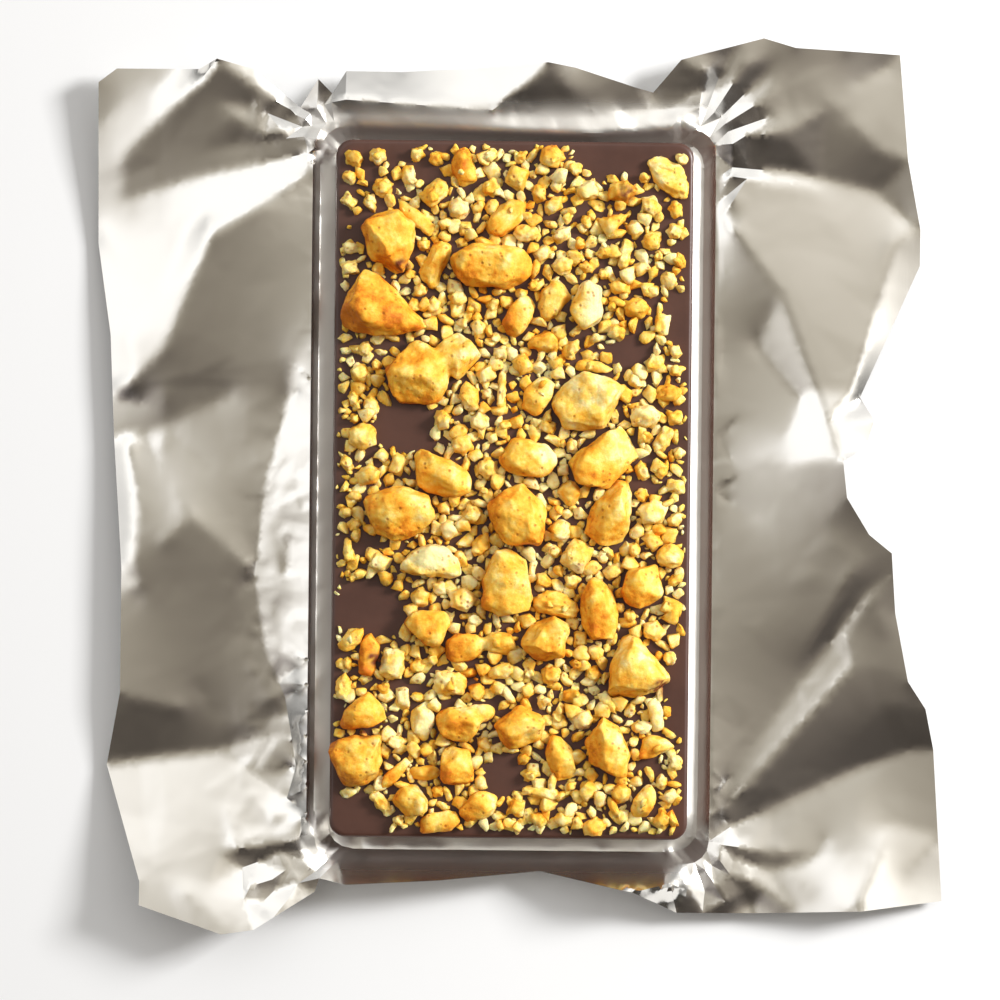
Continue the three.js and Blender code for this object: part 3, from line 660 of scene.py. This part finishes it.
def foil_grid(outline, firm, half, draw):
    """Plan points all over the sheet: fine round the tray, coarse under the bar, clear of firm points."""
    sheet = hex_grid(outline.min(0), outline.max(0), FOIL_STEP, draw, GRID_SHAKE)
    sheet = sheet[inside(sheet, outline) & (from_box(sheet, half) > FOIL_TRAY_REACH)]
    tray = square_grid(-half - FOIL_TRAY_REACH, half + FOIL_TRAY_REACH, FOIL_TRAY_STEP)
    under = np.all(np.abs(tray) < half - FOIL_TRAY_UNDER, axis=1)
    tray = tray[~under & (from_box(tray, half) < FOIL_TRAY_REACH) & inside(tray, outline)]
    hidden = half - FOIL_HIDDEN_MARGIN
    return np.concatenate([
        away_from(sheet, firm, FOIL_STEP * FOIL_ROOM),
        away_from(tray, firm, FOIL_TRAY_STEP * FOIL_ROOM),
        hex_grid(-hidden, hidden, FOIL_HIDDEN_STEP, draw, GRID_SHAKE),
    ])


def foil_mesh(outline, creases, half, draw):
    """The sheet in plan: its points and triangles, which points lie on the rim, and the heights of those on
    the rim and the creases. The solid's creases are left out of the tray's walls."""
    lines = Lines()
    for a, b in sides_of(outline):
        lines.join(a, b, FOIL_STEP)
    rim_count = len(lines.points)
    for a, b in creases:
        if not in_wall((a + b) / 2, half):
            lines.join(a, b, FOIL_STEP)
    firm = np.array(lines.points)
    given = np.concatenate([firm[:, :2], foil_grid(outline[:, :2], firm[:, :2], half, draw)])
    plan, faces, sources = triangulated(given, lines.pairs, WITHIN_LINES)
    origin = np.array([min(known, default=len(given)) for known in sources])
    on_line = origin < len(firm)
    heights = np.full(len(plan), np.nan)
    heights[on_line] = firm[origin[on_line], 2]
    return plan, np.array(faces), origin < rim_count, heights


def walled(heights, plan, half):
    """Heights with each of the tray's walls drawn along its own profile, and which points lie in a wall."""
    drawn = np.zeros(len(plan), bool)
    for axis, side, profile in TRAY_WALLS:
        reaches, levels = zip(*profile)
        out = side * plan[:, axis] - half[axis]
        if (axis, side) == TOP_WALL:
            out = out / (1 - TOP_PULL * np.interp(plan[:, 0], TOP_PULL_AT, (0, 1, 0)))
        along = half[1 - axis] - np.abs(plan[:, 1 - axis])
        share = np.clip(along / WALL_ENDS, 0, 1) * np.clip(1 + (reaches[-1] - out) / WALL_BLEND, 0, 1)
        share[out < -FOIL_TRAY_STEP / 4] = 0
        heights = heights + share * (np.interp(out, reaches, levels) - heights)
        drawn |= share == 1
    return heights, drawn


def settled(heights, plan, faces, fixed, rounds):
    """Heights drawn smoothly between the fixed points, by rounds of taking the neighbours' weighed mean.
    Each neighbour weighs by the angles that face its edge, so that a plane stays a plane on any mesh."""
    sides, pulls = [], []
    for k in range(3):
        tip, one, two = (faces[:, (k + step) % 3] for step in range(3))
        u, v = plan[one] - plan[tip], plan[two] - plan[tip]
        area = np.abs(u[:, 0] * v[:, 1] - u[:, 1] * v[:, 0])
        sides.append(np.sort(np.column_stack([one, two]), axis=1))
        pulls.append((u * v).sum(1) / np.maximum(area, THIN_TRIANGLE))
    pairs, known = np.unique(np.concatenate(sides), axis=0, return_inverse=True)
    pull = np.maximum(np.bincount(known.ravel(), np.concatenate(pulls)), LEAST_PULL)
    a, b = pairs.T
    count = len(heights)
    weight = np.bincount(a, pull, count) + np.bincount(b, pull, count)
    for _ in range(rounds):
        total = np.bincount(a, pull * heights[b], count) + np.bincount(b, pull * heights[a], count)
        heights = np.where(fixed, heights, total / weight)
    return heights


def bell(distance, width):
    """1 at no distance, fading softly to 0 over about twice the width."""
    return np.exp(-((distance / width) ** 2))


def crushed(plan, beyond, half):
    """How crushed the foil is at plan points: on the tray's walls and corners, and along its left side."""
    corners = bell(np.hypot(*(np.abs(plan) - half).T), CORNER_REACH)
    walls = bell(beyond - WALL_MIDDLE, WALL_WIDTH) * WALL_SHARE
    left = bell(plan[:, 0] - LEFT_AT, LEFT_WIDTH) * np.clip((LEFT_TOP - plan[:, 1]) / LEFT_FADE, 0, 1)
    return np.clip(corners + walls + left, 0, 1)


def facets(plan, size, draw):
    """A crumpled field over plan points: straight-edged facets of one size, between -1 and 1 high."""
    given = hex_grid(plan.min(0) - 2 * size, plan.max(0) + 2 * size, size, draw, FACET_SHAKE)
    corners, faces, _ = triangulated(given, [], WHOLE_HULL)
    tops = np.column_stack([corners, draw.uniform(-1, 1, len(corners))])
    return heights_on(BVHTree.FromPolygons(tops.tolist(), faces), plan)


def foil_wrapper(node, half, material):
    """The opened foil: smooth between the solid's creases, bent up at the tray's walls, finely crumpled."""
    draw = np.random.default_rng(SEED)
    outline, creases, tree = foil_skin(node.data)
    plan, faces, on_rim, heights = foil_mesh(outline, creases, half, draw)
    on_line = np.isfinite(heights)
    heights = np.where(on_line, heights, heights_on(tree, plan))
    beyond = from_box(plan, half)
    share = crushed(plan, beyond, half)
    heights, drawn = walled(heights, plan, half)
    drawn |= beyond == 0
    heights = settled(heights, plan, faces, on_line | drawn, FOIL_SMOOTHING)
    heights = settled(heights, plan, faces, drawn | on_rim | (share > FIRM_SHARE), CREASE_ROUNDING)
    in_top_wall = (np.abs(plan[:, 0]) <= half[0]) & (plan[:, 1] > half[1]) & (beyond <= FOIL_TRAY_REACH)
    heights = settled(heights, plan, faces, on_rim | ~in_top_wall, TRAY_SOFTENING)
    for size, calm, crush in CRUMPLES:
        crumple = (calm + (crush - calm) * share) * np.clip(beyond / CRUMPLE_START, 0, 1)
        heights = heights + facets(plan, size, draw) * crumple
    piece = sheet_piece("foil_sheet", np.column_stack([plan, heights]), faces, FOIL_SHEET)
    piece.data.set_sharp_from_angle(angle=SHARP_ANGLE)
    reach = np.where(np.abs(plan[:, 1]) > half[1], DULL_ENDS, DULL_SIDES)
    most = np.where(plan[:, 1] < -half[1], DULL_LOWER_END, 1)
    paint(piece, "crinkled", np.tile(most * np.clip(2 - beyond / reach, 0, 1), 2))
    dress(piece, "foil", material, "foil_wrapper")


def slab_outline(half):
    """The slab's widest outline in plan, with round corners."""
    points = []
    for quarter, side in enumerate(((1, 1), (-1, 1), (-1, -1), (1, -1))):
        for step in range(SLAB_CORNER_STEPS + 1):
            angle = math.pi / 2 * (quarter + step / SLAB_CORNER_STEPS)
            turn = np.array([math.cos(angle), math.sin(angle)])
            points.append(side * (half - SLAB_CORNER) + turn * SLAB_CORNER)
    return along_outline(np.array(points), SLAB_OUTLINE_STEP)


def slab_rings(half):
    """The slab's outline at each level, from its foot up its sloping side to the top of its round edge."""
    outline = slab_outline(half)
    levels = [(SLAB_DRAFT + SLAB_FOOT, BAR_FLOOR), (SLAB_DRAFT, BAR_FLOOR + SLAB_FOOT)]
    for step in range(SLAB_EDGE_STEPS + 1):
        turn = math.pi / 2 * step / SLAB_EDGE_STEPS
        levels.append((SLAB_EDGE * (1 - math.cos(turn)), BAR_TOP - SLAB_EDGE * (1 - math.sin(turn))))
    rings = []
    for inset, level in levels:
        rings.append(np.column_stack([outline * (1 - inset / half), np.full(len(outline), level)]))
    return rings


def slab_top(rim, half):
    """The slab's faintly wavy poured top inside its rim."""
    count = len(rim)
    grid = hex_grid(rim.min(0), rim.max(0), SLAB_STEP, np.random.default_rng(SEED), GRID_SHAKE)
    grid = away_from(grid[inside(grid, rim)], rim, SLAB_RIM_ROOM)
    loop = [(i, (i + 1) % count) for i in range(count)]
    plan, faces, _ = triangulated(np.concatenate([rim, grid]), loop, WITHIN_LINES)
    wave = [noise.noise(Vector((x / WAVE_LENGTH, y / WAVE_LENGTH, WAVE_SLICE))) for x, y in plan]
    fade = np.clip(((half - np.abs(plan)).min(1) - SLAB_EDGE) / WAVE_FADE, 0, 1)
    return np.column_stack([plan, BAR_TOP + WAVE_HEIGHT * fade * wave]), faces


def slab_piece(half, material):
    """The chocolate: sides that draw in downwards, a rounded edge and a poured top."""
    rings = slab_rings(half)
    count = len(rings[0])
    faces = [tuple(reversed(range(count)))]
    for start in range(0, count * (len(rings) - 1), count):
        for i in range(count):
            a, b = start + i, start + (i + 1) % count
            faces.append((a, b, b + count, a + count))
    top, triangles = slab_top(rings[-1][:, :2], half)
    faces.extend(tuple(count * len(rings) + i for i in face) for face in triangles)
    piece = new_piece("chocolate_slab", np.concatenate([*rings, top]), faces)
    bm = bmesh.new()
    bm.from_mesh(piece.data)
    bmesh.ops.remove_doubles(bm, verts=bm.verts, dist=MERGE * MM)
    bm.to_mesh(piece.data)
    bm.free()
    piece.data.shade_smooth()
    dress(piece, "chocolate", material, "chocolate_bar")


def remeshed(mesh):
    """A copy of a solid's mesh in even small faces with its edges softened."""
    helper = bpy.data.objects.new("helper", mesh.copy())
    bpy.context.scene.collection.objects.link(helper)
    remesh = helper.modifiers.new("even", "REMESH")
    remesh.mode = "VOXEL"
    remesh.voxel_size = LUMP_VOXEL * MM
    soften = helper.modifiers.new("soften", "SMOOTH")
    soften.factor = 0.5
    soften.iterations = LUMP_SMOOTHING
    graph = bpy.context.evaluated_depsgraph_get()
    made = bpy.data.meshes.new_from_object(helper.evaluated_get(graph))
    bpy.data.objects.remove(helper)
    return made


def noise_place(draw):
    """A seeded place in the noise, so that each piece has its own."""
    return Vector(draw.uniform(-NOISE_REACH, NOISE_REACH, 3))


def noise_at(points, size, shift):
    """Soft noise of one size at each point, between about -1 and 1."""
    return np.array([noise.noise(Vector(point) / size + shift) for point in points])


def browned(points):
    """How burnt the toffee is at each point."""
    share = np.zeros(len(points))
    for x, y, reach in BURNT:
        away = np.hypot(points[:, 0] - x, points[:, 1] - y) / reach
        share = np.maximum(share, np.clip(BURNT_CORE - BURNT_CORE * away, 0, 1))
    rough = noise_at(points, BURNT_GRAIN, Vector((0, 0, 0)))
    return np.clip(share * (1 + BURNT_RAGGED * rough), 0, 1)


def side_share(normals):
    """How much of a side each point is: 0 on a top, 1 on an upright side and below."""
    return np.clip(1 - normals[:, 2], 0, 1) ** 2


def paint_toffee(piece, points, tones, normals):
    """Tones and burns, with painted shade on the upright sides: more orange in tone and mixed towards brown.
    """
    side = side_share(normals)
    paint(piece, "tone", tones + SIDE_SHADE_TONE * side)
    paint(piece, "browned", np.maximum(browned(points), SIDE_SHADE_BROWNING * side))


def broken(points, draw):
    """Points with flat breaks: what lies beyond each of several planes is pressed back onto it."""
    for _ in range(LUMP_BREAKS):
        facing = draw.normal(size=3)
        facing[2] = abs(facing[2])
        facing /= np.linalg.norm(facing)
        along = points @ facing
        beyond = along - np.quantile(along, draw.uniform(*BREAK_LEAVES))
        points = points - np.maximum(beyond, 0)[:, None] * facing
    return points


def softened(points, faces):
    """Points moved half way to the mean of their neighbours, round after round."""
    corners = np.array(faces)
    a = corners.ravel()
    b = np.roll(corners, -1, axis=1).ravel()
    degree = np.bincount(a, minlength=len(points)) + np.bincount(b, minlength=len(points))
    for _ in range(BREAK_SOFTENING):
        total = np.zeros_like(points)
        np.add.at(total, a, points[b])
        np.add.at(total, b, points[a])
        points = (points + total / degree[:, None]) / 2
    return points


def lump_piece(name, node, material, draw):
    """One lump: the solid with its edges softened and its faces made uneven, in the solid's own box."""
    mesh = remeshed(node.data)
    faces = [tuple(face.vertices) for face in mesh.polygons]
    shift = noise_place(draw)
    points = softened(broken(points_of(mesh), draw), faces)
    unevenness = sum(height * noise_at(points, size, shift) for size, height in LUMP_UNEVENNESS)
    points = points + normals_of(mesh) * unevenness[:, None]
    low, high = (np.array(corner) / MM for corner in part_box(name))
    low[2] = BAR_TOP - LUMP_SINK
    points = low + (points - points.min(0)) / np.ptp(points, axis=0) * (high - low)
    piece = new_piece(name.replace("honeycomb", "lump"), points, faces)
    usual = draw.uniform(*USUAL_TONES)
    across = (points - (low + high) / 2) / (high - low) * 2
    # Painted shade: more orange towards the lump's side away from the key light
    tones = LUMP_TONES.get(name, usual) + PAINTED_SHADE_LEAN * (across[:, :2] @ SHADED_SIDE)
    paint_toffee(piece, points, tones, normals_of(piece.data))
    dress(piece, "honeycomb", material, name)
    return points, faces


def islands(mesh, above):
    """The points of each crumb that stands on the slab: connected faces that reach above a height."""
    bm = bmesh.new()
    bm.from_mesh(mesh)
    bmesh.ops.remove_doubles(bm, verts=bm.verts, dist=MERGE * MM)
    bm.faces.ensure_lookup_table()
    high = {face for face in bm.faces if max(vert.co.z for vert in face.verts) > above * MM}
    found = []
    while high:
        group = [high.pop()]
        queue = list(group)
        while queue:
            face = queue.pop()
            near = {other for edge in face.edges for other in edge.link_faces if other in high}
            high -= near
            group.extend(near)
            queue.extend(near)
        verts = {vert for face in group for vert in face.verts}
        found.append(np.array([vert.co for vert in verts]) / MM)
    bm.free()
    return sorted(found, key=lambda points: tuple(points.mean(0)))


def hull(points):
    """The convex hull of points, without those that lie inside it."""
    bm = bmesh.new()
    verts = [bm.verts.new(point) for point in points]
    made = bmesh.ops.convex_hull(bm, input=verts)
    left_over = made["geom_interior"] + made["geom_unused"]
    loose = {part for part in left_over if isinstance(part, bmesh.types.BMVert)}
    bmesh.ops.delete(bm, geom=list(loose), context="VERTS")
    return bm


def rock(points, shift, cuts, softness, roughness, grain):
    """A broken crumb: the hull of its points, refined, softened and made rough."""
    bm = hull(points)
    axes = {"use_axis_x": True, "use_axis_y": True, "use_axis_z": True}
    for _ in range(cuts):
        bmesh.ops.subdivide_edges(bm, edges=bm.edges, cuts=1, use_grid_fill=True)
        bmesh.ops.smooth_vert(bm, verts=bm.verts, factor=softness, **axes)
    bmesh.ops.triangulate(bm, faces=bm.faces)
    bm.normal_update()
    made = np.array([vert.co for vert in bm.verts])
    normals = np.array([vert.normal for vert in bm.verts])
    bm.verts.index_update()
    faces = np.array([[vert.index for vert in face.verts] for face in bm.faces])
    bm.free()
    return made + normals * (roughness * noise_at(made, grain, shift))[:, None], faces


class Heap:
    """Many small pieces gathered into one mesh, each with its own tone."""

    def __init__(self):
        self.points, self.faces, self.tones = [], [], []
        self.total = 0

    def add(self, points, faces, tone):
        self.points.append(points)
        self.faces.append(faces + self.total)
        self.tones.append(np.full(len(points), tone))
        self.total += len(points)

    def piece(self, name, material):
        points, faces = np.concatenate(self.points), np.concatenate(self.faces)
        made = new_piece(name, points, faces.tolist())
        paint_toffee(made, points, np.concatenate(self.tones), vertex_normals(points, faces))
        dress(made, "honeycomb", material)
        return points, faces


def crumb_piece(node, material, draw):
    """The crumbs that the solids have, each rebuilt from its own corners."""
    heap = Heap()
    for spots in islands(node.data, BAR_TOP + CRUMB_LEAST):
        sunk = spots.copy()
        sunk[:, 2] = np.minimum(sunk[:, 2], BAR_TOP) - CRUMB_SINK
        points, faces = rock(np.concatenate([spots, sunk]), noise_place(draw), **CRUMB_BREAK)
        heap.add(points, faces, draw.uniform(*CRUMB_TONES))
    return heap.piece("honeycomb_crumbs", material)


class Ground:
    """The slab's top with all that lies on it, for finding where grit can lie."""

    def __init__(self, half, pieces):
        points = [(x, y, BAR_TOP) for x in (-half[0], half[0]) for y in (-half[1], half[1])]
        faces = [(0, 2, 3, 1)]
        for piece_points, piece_faces in pieces:
            start = len(points)
            points.extend(piece_points.tolist())
            faces.extend([start + i for i in face] for face in piece_faces)
        self.tree = BVHTree.FromPolygons(points, faces)
        turns = np.arange(FEELERS) * math.tau / FEELERS
        self.feelers = [(0, 0)] + [(math.cos(turn), math.sin(turn)) for turn in turns]

    def levels(self, x, y, reach):
        """The heights at a place and at a reach all round it, 0 where there is no ground."""
        starts = [Vector((x + reach * u, y + reach * v, GRIT_RAY_START)) for u, v in self.feelers]
        hits = [self.tree.ray_cast(start, DOWN)[0] for start in starts]
        return np.array([hit.z if hit else 0 for hit in hits])


def chip(cuts, draw):
    """A broken chip one unit long: the hull of points on a squat, uneven ball."""
    points = draw.normal(size=(GRIT_CORNERS, 3))
    points *= draw.uniform(*GRIT_RADII, (GRIT_CORNERS, 1)) / np.linalg.norm(points, axis=1)[:, None]
    points *= (1, draw.uniform(*GRIT_WIDTHS), draw.uniform(*GRIT_HEIGHTS))
    return rock(points / np.ptp(points[:, 0]), noise_place(draw), cuts, **GRIT_BREAK)


def is_bare(x, y):
    return any(((x - cx) / rx) ** 2 + ((y - cy) / ry) ** 2 < 1 for cx, cy, rx, ry in BARE)


def is_thinned(x, y, half, draw):
    """Whether grit is left out at a place: often along the long sides and towards the upper end."""
    chance = SIDE_THINNING * (x / half[0]) ** 2 + TOP_THINNING * max(0, y / half[1])
    return draw.uniform() < chance


def turned(points, draw):
    """Points turned freely about the vertical and tilted a little."""
    tilts = [draw.uniform(-GRIT_TILT, GRIT_TILT) for _ in range(2)]
    turn = Euler((*tilts, draw.uniform(0, math.tau)))
    return points @ np.array(turn.to_matrix()).T


def put_grit(heap, shapes, place, size, draw):
    """Adds a chip of a size to the heap, turned, and sunk a little into what it lies on."""
    points, faces = shapes[draw.integers(len(shapes))]
    points = turned(points * size, draw)
    x, y, z = place
    points += (x, y, z - points[:, 2].min() - GRIT_SINK * size)
    heap.add(points, faces, draw.uniform(*GRIT_TONES))


def strew(heap, ground, half, draw):
    """Grit on the free chocolate, the largest first. The last shapes come back."""
    lying = np.zeros((0, 3))
    for count, largest, smallest, cuts in GRIT:
        shapes = [chip(cuts, draw) for _ in range(GRIT_SHAPES)]
        for size in np.geomspace(largest, smallest, count):
            for _ in range(GRIT_TRIES):
                x, y = draw.uniform(-1, 1, 2) * (half - size / 2)
                thinned = is_thinned(x, y, half, draw)
                near = np.hypot(lying[:, 0] - x, lying[:, 1] - y) < GRIT_ROOM * (lying[:, 2] + size)
                if thinned or is_bare(x, y) or near.any():
                    continue
                levels = ground.levels(x, y, size * FEELER_REACH)
                touching = (levels > BAR_TOP + FEELER_CLEARANCE).sum()
                if touching <= FEELERS_TOUCHING and levels.min() > 0:
                    put_grit(heap, shapes, (x, y, BAR_TOP), size, draw)
                    lying = np.append(lying, [(x, y, size)], axis=0)
                    break
    return shapes


def strew_on_top(heap, shapes, ground, half, draw):
    """A few chips that came to lie on larger pieces, where those are nearly level."""
    lowest, highest = (BAR_TOP + level for level in HEAPED_LEVELS)
    left = HEAPED
    while left:
        x, y = draw.uniform(-1, 1, 2) * (half - HEAPED_MARGIN)
        size = draw.uniform(*HEAPED_SIZES)
        levels = ground.levels(x, y, size * HEAPED_REACH)
        if lowest < levels.min() and levels.max() < highest and np.ptp(levels) < HEAPED_SLOPE:
            put_grit(heap, shapes, (x, y, levels.min()), size, draw)
            left -= 1


def grit_piece(ground, half, material, draw):
    """Small crumbs and grit between the larger pieces, and a few on top of them."""
    room = half - GRIT_MARGIN
    heap = Heap()
    shapes = strew(heap, ground, room, draw)
    strew_on_top(heap, shapes, ground, room, draw)
    heap.piece("honeycomb_grit", material)


def sky():
    """A studio dome: mid grey overhead, bright behind the bar and at both sides, dark in front, and fading
    towards the horizon."""
    world = bpy.data.worlds.new("studio")
    bpy.context.scene.world = world
    world.use_nodes = True
    shader = Shader(world.node_tree)
    direction = shader.node("TexCoord").outputs["Generated"]

    def towards(axis, stops):
        return shader.ramp(shader.along(direction, axis), stops)

    front_to_back = shader.math("MULTIPLY_ADD", shader.along(direction, DOME_AXIS), 0.5, 0.5)
    depth = shader.ramp(front_to_back, DOME_DEPTH)
    sides = shader.vector_math("ADD", towards((1, 0, 0), DOME_RIGHT), towards((-1, 0, 0), DOME_LEFT))
    dome = shader.vector_math("MULTIPLY_ADD", depth, sides, depth)
    light = shader.vector_math("ADD", dome, towards(SOFTBOX_AXIS, SOFTBOX))
    capped = shader.vector_math("MINIMUM", light, DOME_MOST)
    faded = shader.vector_math("MULTIPLY", capped, towards((0, 0, 1), HORIZON))
    shader.put(world.node_tree.nodes["Background"], "Color", faded)


def key_light():
    """A square soft light that shines on the bar."""
    light = bpy.data.lights.new("key", "AREA")
    light.size = KEY_SIZE
    light.energy = KEY_POWER
    made = bpy.data.objects.new("key", light)
    made.location = KEY_PLACE
    made.rotation_euler = (-Vector(KEY_PLACE)).to_track_quat("-Z", "Y").to_euler()
    bpy.context.scene.collection.objects.link(made)


def camera():
    """The photograph's camera, straight above."""
    lens = bpy.data.cameras.new("photo_camera")
    lens.lens = CAMERA_LENS
    lens.sensor_width = CAMERA_SENSOR
    made = bpy.data.objects.new("photo_camera", lens)
    height = BAR_TOP + VIEW_WIDTH * CAMERA_LENS / CAMERA_SENSOR
    made.location = Vector((*VIEW_CENTRE, height)) * MM
    made.rotation_euler = Euler((0, 0, VIEW_LEAN))
    bpy.context.scene.collection.objects.link(made)
    bpy.context.scene.camera = made


def floor(material):
    corners = [(FLOOR_REACH * x, FLOOR_REACH * y, 0) for x, y in ((-1, -1), (1, -1), (1, 1), (-1, 1))]
    piece = new_piece("floor", corners, [(0, 1, 2, 3)])
    piece.data.materials.append(material)


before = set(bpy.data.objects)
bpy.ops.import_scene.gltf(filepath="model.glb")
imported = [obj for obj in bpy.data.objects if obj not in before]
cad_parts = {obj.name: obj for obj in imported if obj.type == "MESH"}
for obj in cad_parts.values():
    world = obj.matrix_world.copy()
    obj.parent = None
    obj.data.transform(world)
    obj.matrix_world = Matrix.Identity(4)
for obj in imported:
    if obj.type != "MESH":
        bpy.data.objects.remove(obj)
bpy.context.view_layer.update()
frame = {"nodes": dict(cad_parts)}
nodes = frame["nodes"]
lump_names = [name for name in sorted(nodes) if name.startswith("honeycomb")]
bar_half = np.array(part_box("chocolate_bar")[1][:2]) / MM
draw = np.random.default_rng(SEED)
toffee = honeycomb_material()
foil_wrapper(nodes["foil_wrapper"], bar_half, foil_material())
slab_piece(bar_half, chocolate_material())
lumps = [lump_piece(name, nodes[name], toffee, draw) for name in lump_names]
crumbs = crumb_piece(nodes["chocolate_bar"], toffee, draw)
grit_piece(Ground(bar_half, lumps + [crumbs]), bar_half, toffee, draw)
floor(floor_material())
sky()
key_light()
camera()
bpy.context.scene.view_settings.view_transform = "Standard"
